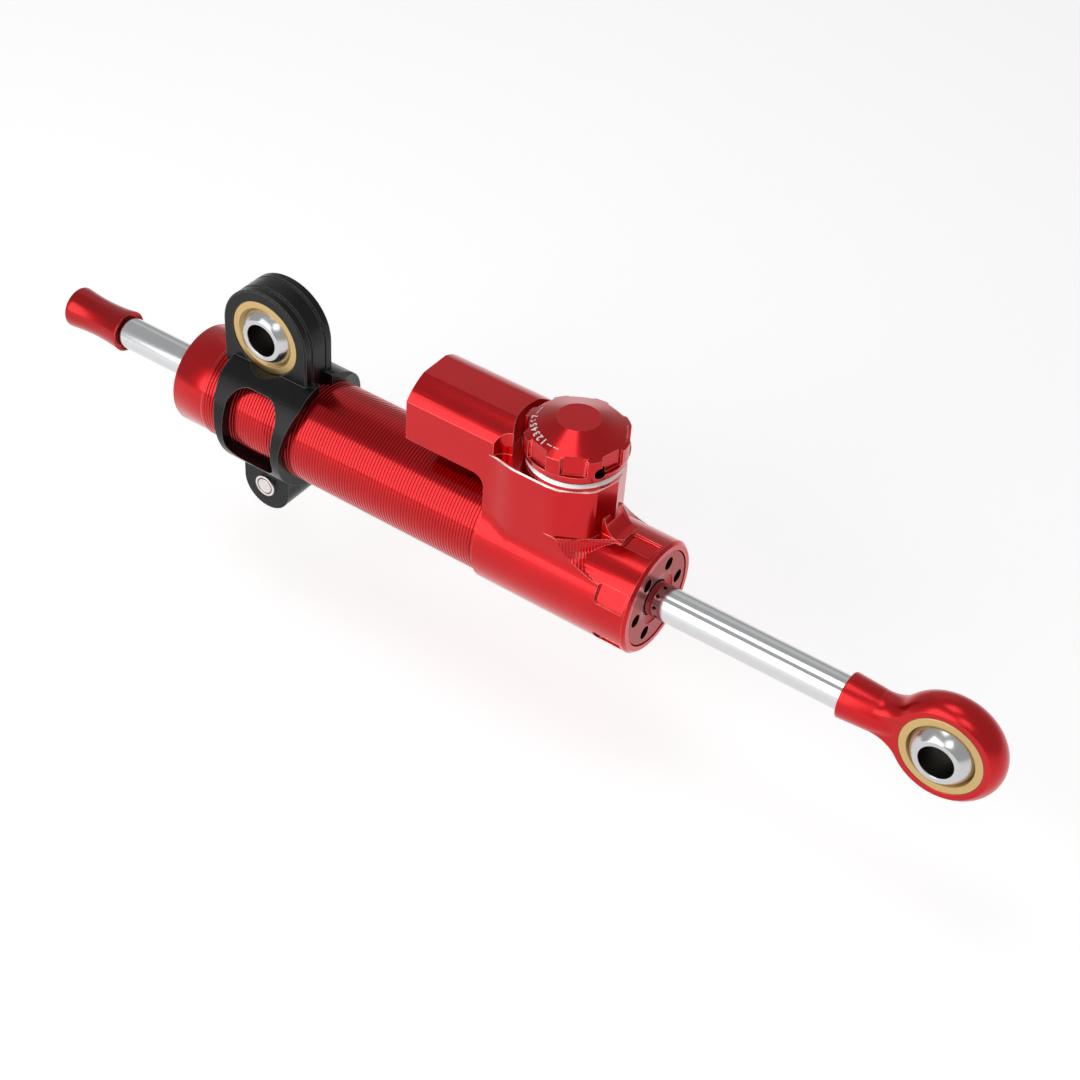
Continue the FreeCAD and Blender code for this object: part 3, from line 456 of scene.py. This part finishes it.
def makeBearing(place, centre, half):
    # race with a chamfered mouth, and the drilled ball in it
    ball, bore, side = eyeLook["ball"], eyeLook["bore"], eyeLook["side"]
    hollow, mouth, lip = ball + eyeLook["gap"], eyeLook["mouth"], eyeLook["lip"]
    points = [(-half, lip), (-half, eyeLook["race"]), (half, eyeLook["race"]), (half, lip)]
    radius = [0, eyeLook["raceEdge"], eyeLook["raceEdge"], eyeLook["lipEdge"]]
    for i in range(eyeLook["raceSteps"] + 1):
        y = (half - mouth) * (1 - 2 * i / eyeLook["raceSteps"])
        points.append((y, math.sqrt(hollow ** 2 - y ** 2)))
        radius.append(0)
    points.append(points[0])
    radius.append(0)
    around = roundSteps["bearing"]
    turnedPiece(place + "_race", place + "Race", rounded(points, radius), "Y", centre, around)
    flat, seam = math.sqrt(ball ** 2 - side ** 2), eyeLook["seam"]
    points, radius = [(side, bore + seam), (side, flat)], [0, eyeLook["ballEdge"]]
    for i in range(1, eyeLook["ballSteps"]):
        y = side * (1 - 2 * i / eyeLook["ballSteps"])
        points.append((y, math.sqrt(ball ** 2 - y ** 2)))
        radius.append(0)
    points += [(-side, flat), (-side, bore), (side, bore), (side, bore + seam)]
    radius += [eyeLook["ballEdge"], eyeLook["boreEdge"], eyeLook["boreEdge"], 0]
    bm = turn(rounded(points, radius), "Y", centre, around)
    for face in bm.faces:
        middle = (face.calc_center_median() - centre) / mm
        inBore = math.hypot(middle.x, middle.z) < bore + eyeLook["boreSlack"]
        if inBore and abs(middle.y) < side - seam:
            face.material_index = 1
    keys = [place + "Ball", "boreSteel"]
    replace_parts(addPiece(place + "_ball_finished", bm, keys, place + "_ball", 25), place + "_ball")


pinLook = {"shank": 2.0, "head": 2.9, "under": 5.0, "underTaper": 0.15, "top": 5.9, "taper": 0.02,
           "groove": 1.95, "grooveWidth": 0.3, "grooveDepth": 0.18, "grooveSlope": 0.06, "sunk": 0.08,
           "innerEdge": 0.1, "outerEdge": 0.12, "rimEdge": 0.32}


def makePin():
    groove, top, head, under = pinLook["groove"], pinLook["top"], pinLook["head"], pinLook["under"]
    bottom, wide, slope = top - pinLook["grooveDepth"], pinLook["grooveWidth"], pinLook["grooveSlope"]
    half = [(top, 0), (top, groove), (bottom, groove + slope), (bottom, groove + wide - slope),
            (top, groove + wide), (top, head - pinLook["taper"]), (under + pinLook["underTaper"], head),
            (under, head), (under, pinLook["shank"])]
    soft = [0, pinLook["innerEdge"], 0, 0, pinLook["outerEdge"], pinLook["rimEdge"], 0, 0, 0]
    points = rounded(half + [(-s, r) for s, r in reversed(half)], soft + soft[::-1])
    at = middleOf("clamp_pin")
    bm = turn(points, "Y", at, roundSteps["slim"])
    for face in bm.faces:
        spot = (face.calc_center_median() - at) / mm
        if abs(spot.y) < top - pinLook["sunk"] and groove < math.hypot(spot.x, spot.z) < groove + wide:
            face.material_index = 1
    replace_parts(addPiece("clamp_pin_finished", bm, ["pin", "darkSteel"], "clamp_pin", 25), "clamp_pin")


endLook = {"shankBack": 23.6, "shank": 5.3, "edge": 0.35, "neckBack": 15.7, "neck": 4.85, "flatBack": 10.7,
           "eye": 12.89, "half": 3.9, "bulge": 4.83, "socket": 4.02, "socketPast": 0.5, "socketEdge": 0.1,
           "shankTaper": 0.05, "shankEdge": 0.3, "shankSoft": 0.2, "acrossSteps": 14, "filletSteps": 18,
           "eyeSteps": 110}


def endOutline():
    # the eye's outline from above the neck round to below it: place, outward direction, angle at the race
    look = endLook
    d, s = look["eye"] - look["neck"], look["eye"] + look["neck"]
    fillet = (look["neckBack"] ** 2 / d - s) / 2
    centre = Vector((-look["neckBack"], look["neck"] + fillet))
    meet = math.atan2(centre.y, centre.x)
    upper = [(Vector((-look["neckBack"], 0)), Vector((0, 0)), math.pi)]
    for i in range(look["filletSteps"]):
        t = i / look["filletSteps"]
        a = -math.pi / 2 + (meet - math.pi / 2) * t
        way = Vector((math.cos(a), math.sin(a)))
        upper.append((centre + way * fillet, -way, math.pi + (meet - math.pi) * t))
    for i in range(look["eyeSteps"] // 2 + 1):
        a = meet * (1 - 2 * i / look["eyeSteps"])
        way = Vector((math.cos(a), math.sin(a)))
        upper.append((way * look["eye"], way, a))
    lower = [(Vector((p.x, -p.y)), Vector((n.x, -n.y)), -a) for p, n, a in reversed(upper[:-1])]
    return upper + lower


def makeRodEnd():
    look = endLook
    back, neck, half, start = -look["neckBack"], look["neck"], look["half"], -look["shankBack"]
    x0 = rodEye.x / mm
    stations = [(back + look["socketPast"], 0), (back + look["socketPast"], look["socket"]),
                (start, look["socket"]), (start, look["shank"] - look["shankTaper"]),
                (start + look["edge"], look["shank"]), (back, neck), (-look["flatBack"], half),
                (-look["flatBack"], 0)]
    radius = [0, 0, look["socketEdge"], look["shankEdge"], look["shankSoft"], 0, 0, 0]
    points = rounded([(x0 + x, r) for x, r in stations], radius)
    bm = turn(points, "X", rodAxis, roundSteps["slim"])
    outline = endOutline()
    widest = math.asin(half / look["bulge"])
    across = [widest * (2 * i / look["acrossSteps"] - 1) for i in range(look["acrossSteps"] + 1)]
    columns, rows = len(across) + 3, len(outline)
    plate = bmesh.new()
    bmesh.ops.create_grid(plate, x_segments=columns - 1, y_segments=rows - 1, size=0.5)
    for v in plate.verts:
        column = round((v.co.x + 0.5) * (columns - 1))
        row = round((v.co.y + 0.5) * (rows - 1))
        place, way, angle = outline[row]
        if 0 < column < columns - 2:
            turned = across[column - 1]
            place = place - way * look["bulge"] * (1 - math.cos(turned))
            side = look["bulge"] * math.sin(turned)
        else:
            place = Vector((math.cos(angle), math.sin(angle))) * eyeLook["race"]
            side = half if column == columns - 2 else -half
        v.co = rodEye + Vector((place.x, side, place.y)) * mm
    bmesh.ops.remove_doubles(plate, verts=plate.verts, dist=merging["piece"] * mm)
    bmesh.ops.recalc_face_normals(plate, faces=plate.faces)
    mesh = bpy.data.meshes.new("plate")
    plate.to_mesh(mesh)
    plate.free()
    bm.from_mesh(mesh)
    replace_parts(addPiece("rod_end_finished", bm, ["redRodEnd"], "rod_end", 25), "rod_end")


glandLook = {"pinCircle": 8.4, "pinHole": 1.15, "pins": 6, "turn": 4.0, "wider": 1.4, "pinDepth": 3.0,
             "mouth": 5.6, "mouthDepth": 0.6, "depthSlack": 0.1, "mouthSlack": 0.05, "holeSlack": 0.08,
             "lip": 4.4, "wiper": 4.9, "wiperBore": 4.04, "wiperStart": 0.9, "wiperEnd": 1.6,
             "wiperEdge": 0.2}


def makeGland(place, face, sign):
    # the node's shape with wider pin holes and a lip that narrows to the wiper
    look = glandLook
    bm = copyOf(place + "_gland")
    for v in bm.verts:
        spot = (v.co - rodAxis) / mm
        depth, radius = (face - spot.x) * sign, math.hypot(spot.y, spot.z)
        nearFace = depth < look["mouthDepth"] + look["depthSlack"]
        if nearFace and abs(radius - look["mouth"]) < look["mouthSlack"]:
            closer = look["lip"] / radius
            v.co = rodAxis + Vector((spot.x, spot.y * closer, spot.z * closer)) * mm
        for i in range(look["pins"]):
            a = math.radians(look["turn"]) + math.tau * i / look["pins"]
            hole = Vector((spot.x, math.cos(a) * look["pinCircle"], math.sin(a) * look["pinCircle"]))
            onHole = (spot - hole).length < look["pinHole"] + look["holeSlack"]
            if onHole and depth < look["pinDepth"] + look["depthSlack"]:
                v.co = rodAxis + (hole + (spot - hole) * look["wider"]) * mm
    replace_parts(addPiece(place + "_gland_finished", bm, ["redGland"], place + "_gland", 12, True), place + "_gland")
    start, end = face - sign * look["wiperStart"], face - sign * look["wiperEnd"]
    bore, wiper = look["wiperBore"], look["wiper"]
    ring = [(start, bore), (start, wiper), (end, wiper), (end, bore), (start, bore)]
    points = rounded(ring, [0, look["wiperEdge"], 0, 0, 0])
    turnedPiece(place + "_wiper", "rubber", points, "X", rodAxis, roundSteps["slim"])


clampHalf = 4.6   # half of the clamp eye's width

makeTube()
makeRod()
makeCap()
makeRodEnd()
makeGland("front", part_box("front_gland")[1].x / mm, 1)
makeGland("rear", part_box("rear_gland")[0].x / mm, -1)
makeBearing("rod", rodEye, endLook["half"])
makeBearing("clamp", clampEye, clampHalf)
makePin()
print("turned pieces made")

dressed = {
    "dial": "redDial", "dial_screw": "darkSteel", "clamp_front": "black", "clamp_rear": "black",
    "clamp_middle": "black", "reservoir_plug": "black", "plug_clip": "steel",
}
for node, finish in dressed.items():
    dress(node, finish)

headLook = {"shelf": 26.8, "shelfChamfer": 0.3, "ringTop": 28.3, "ringChamfer": 0.65, "ringRadius": 10.8,
            "chamferSlack": 0.1}


def makeHead():
    bm = copyOf("valve_head")
    bm.normal_update()
    shelf, top = headLook["shelf"], headLook["ringTop"]
    for face in bm.faces:
        middle = (face.calc_center_median() - dialAt) / mm
        n = face.normal
        turned = math.degrees(math.atan2(abs(n.y), n.x))
        sloping = millLook["steepest"] < n.z < millLook["flattest"]
        low = middle.z < shelf - millLook["belowShelf"]
        if sloping and low and abs(turned - millLook["angle"]) < millLook["spread"]:
            face.material_index = 3
        if abs(n.z - math.sqrt(0.5)) > headLook["chamferSlack"]:   # not a chamfer
            continue
        # painted highlight: the shelf's chamfer takes the pale pink polished finish
        if shelf - headLook["shelfChamfer"] < middle.z < shelf:
            face.material_index = 1
        inRing = math.hypot(middle.x, middle.y) < headLook["ringRadius"]
        if inRing and top - headLook["ringChamfer"] < middle.z < top:
            face.material_index = 2
    keys = ["redHead", "polishedChamferHighlight", "bareRing", "redMilled"]
    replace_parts(addPiece("valve_head_finished", bm, keys, "valve_head", 12, True), "valve_head")


makeHead()

hiddenFinish = {
    "red_anodised": "redHead", "black_anodised": "black", "hard_chrome": "chrome", "ball_steel": "steel",
    "brass_race": "brass", "bare_aluminium": "aluminium", "ptfe_band": "band", "bronze_bush": "brass",
    "seal_rubber": "rubber", "valve_brass": "brass", "spring_steel": "steel", "dark_steel": "darkSteel",
    "pin_steel": "pin",
}
for node, obj in nodes.items():
    obj.data.materials.clear()
    obj.data.materials.append(finishes[hiddenFinish[slotOf[node]]])
print("nodes dressed")

markLook = {"height": 2.1, "radius": 9.35, "numbers": 7, "first": -106.0, "step": -9.0,
            "dashes": (-86, -96, -170, -179), "dashLength": 1.2, "dashWidth": 0.22, "thicken": 0.05,
            "proud": 0.02}
dialLook = {"top": 38.2, "rim": 35.0, "radius": 11.6, "disc": 4.7}


def addMark(bm, piece, angle):
    # lays a flat mark on the dial's bevel, its top outwards
    rise, run = dialLook["top"] - dialLook["rim"], dialLook["radius"] - dialLook["disc"]
    height = dialLook["rim"] + (dialLook["radius"] - markLook["radius"]) * rise / run + markLook["proud"]
    place = (Matrix.Translation(dialAt) @ Matrix.Rotation(math.radians(angle), 4, "Z")
             @ Matrix.Translation(Vector((markLook["radius"], 0, height)) * mm)
             @ Matrix.Rotation(math.atan2(rise, run), 4, "Y") @ Matrix.Rotation(-math.pi / 2, 4, "Z"))
    bmesh.ops.transform(piece, matrix=place, verts=piece.verts)
    flat = bpy.data.meshes.new("flat")
    piece.to_mesh(flat)
    piece.free()
    bm.from_mesh(flat)


def makeMarks():
    f = newFinish("whitePrint")
    speck = f.noise(f.around(dialAt), 6.0, 2.0)
    finishes["print"] = f.finished({"Base Color": f.mix(speck, (0.86, 0.84, 0.82, 1), (0.72, 0.68, 0.67, 1)),
                                    "Roughness": 0.45})
    bm = bmesh.new()
    for i in range(markLook["numbers"]):
        curve = bpy.data.curves.new("mark", "FONT")
        curve.body, curve.size = str(i + 1), markLook["height"] * mm
        curve.align_x, curve.align_y, curve.offset = "CENTER", "CENTER", markLook["thicken"] * mm
        text = bpy.data.objects.new("mark", curve)
        scene.collection.objects.link(text)
        piece = bmesh.new()
        piece.from_mesh(bpy.data.meshes.new_from_object(text))
        bpy.data.objects.remove(text)
        addMark(bm, piece, markLook["first"] + markLook["step"] * i)
    for angle in markLook["dashes"]:
        piece = bmesh.new()
        bmesh.ops.create_grid(piece, x_segments=1, y_segments=1, size=0.5)
        size = (markLook["dashLength"] * mm, markLook["dashWidth"] * mm, 1)
        bmesh.ops.scale(piece, vec=size, verts=piece.verts)
        addMark(bm, piece, angle)
    addPiece("dial_marks", bm, ["print"], "dial")


makeMarks()
print("marks made")

studio = {"floorDrop": 24, "floorSize": 40, "floorX": 60, "paper": 0.88, "worldLight": 0.30,
          "worldGlow": 0.20, "floorGlow": 0.51}
# azimuth (from -Y towards +X) and elevation as seen from the part, distance, width, height in m, power in W
lamps = {
    "frontBox": (-20, 23, 0.75, 0.60, 0.62, 2.7),
    "viewBox": (30, 46, 0.70, 0.24, 0.24, 0.35),
    "topBox": (-40, 80, 0.80, 0.34, 0.34, 0.7),
    "backBox": (-148, 41, 0.75, 0.55, 0.36, 0.11),
}


def faceInwards(obj, azimuth, elevation, distance):
    a, e = math.radians(azimuth), math.radians(elevation)
    offset = Vector((math.sin(a) * math.cos(e), -math.cos(a) * math.cos(e), math.sin(e))) * distance
    obj.location = (cadBox[0] + cadBox[1]) / 2 + offset
    obj.rotation_euler = (-offset).to_track_quat("-Z", "Y").to_euler()
    obj.visible_camera = False


def makeSheet(name, material, width, height):
    bm = bmesh.new()
    bmesh.ops.create_grid(bm, x_segments=1, y_segments=1, size=0.5)
    bmesh.ops.scale(bm, vec=(width, height, 1), verts=bm.verts)
    mesh = bpy.data.meshes.new(name)
    bm.to_mesh(mesh)
    bm.free()
    mesh.materials.append(material)
    obj = bpy.data.objects.new(name, mesh)
    scene.collection.objects.link(obj)
    return obj


def seenDirectly(f):
    # 1 where the camera, a mirror or glass looks at it, and 0 where it only gives light
    kinds = ("Camera", "Glossy", "Transmission")
    rays = [f.add("ShaderNodeLightPath", {}, {}, "Is %s Ray" % kind) for kind in kinds]
    return (rays[0] + rays[1] + rays[2]).clamped()


def makeStudio():
    f = newFinish("floorPaper")
    glow = f.add("ShaderNodeEmission", {}, {"Strength": seenDirectly(f) * studio["floorGlow"]})
    paper = f.add("ShaderNodeBsdfDiffuse", {}, {"Color": (studio["paper"],) * 3 + (1,)})
    f.add("ShaderNodeOutputMaterial", {}, {"Surface": f.add("ShaderNodeAddShader", {}, [glow, paper])})
    floor = makeSheet("floor", f.owner, studio["floorSize"], studio["floorSize"])
    floor.location = (studio["floorX"] * mm, 0, cadBox[0].z - studio["floorDrop"] * mm)

    scene.world = bpy.data.worlds.new("studio")
    f = Finish(scene.world)
    strength = seenDirectly(f) * studio["worldGlow"] + studio["worldLight"]
    back = f.add("ShaderNodeBackground", {}, {"Color": (1, 1, 1, 1), "Strength": strength})
    f.add("ShaderNodeOutputWorld", {}, {"Surface": back})

    for name, (azimuth, elevation, distance, width, height, power) in lamps.items():
        lamp = bpy.data.lights.new(name, "AREA")
        lamp.shape, lamp.size, lamp.size_y, lamp.energy = "RECTANGLE", width, height, power
        obj = bpy.data.objects.new(name, lamp)
        scene.collection.objects.link(obj)
        faceInwards(obj, azimuth, elevation, distance)


# angles in degrees, lengths in mm, focal length in pixels
view = {"azimuth": 31.99, "elevation": 41.46, "roll": 4.36, "distance": 457.08, "aimX": 75.31, "aimZ": -23.13,
        "focal": 2050.0, "pixels": 1080, "sensor": 36, "near": 10, "far": 20000}


def makeCamera():
    a, e, roll = (math.radians(view[k]) for k in ("azimuth", "elevation", "roll"))
    back = Vector((math.sin(a) * math.cos(e), -math.cos(a) * math.cos(e), math.sin(e)))
    right = Vector((math.cos(a), math.sin(a), 0))
    up = back.cross(right)
    side = right * math.cos(roll) + up * math.sin(roll)
    top = up * math.cos(roll) - right * math.sin(roll)
    camera = bpy.data.objects.new("camera", bpy.data.cameras.new("camera"))
    camera.data.sensor_width = view["sensor"]
    camera.data.lens = view["sensor"] * view["focal"] / view["pixels"]
    camera.data.clip_start, camera.data.clip_end = view["near"] * mm, view["far"] * mm
    turned = Matrix((side, top, back)).transposed().to_4x4()
    target = Vector((view["aimX"], 0, view["aimZ"])) * mm
    camera.matrix_world = Matrix.Translation(target + back * view["distance"] * mm) @ turned
    scene.collection.objects.link(camera)
    scene.camera = camera


makeStudio()
makeCamera()
scene.view_settings.view_transform = "Standard"
print("studio made")
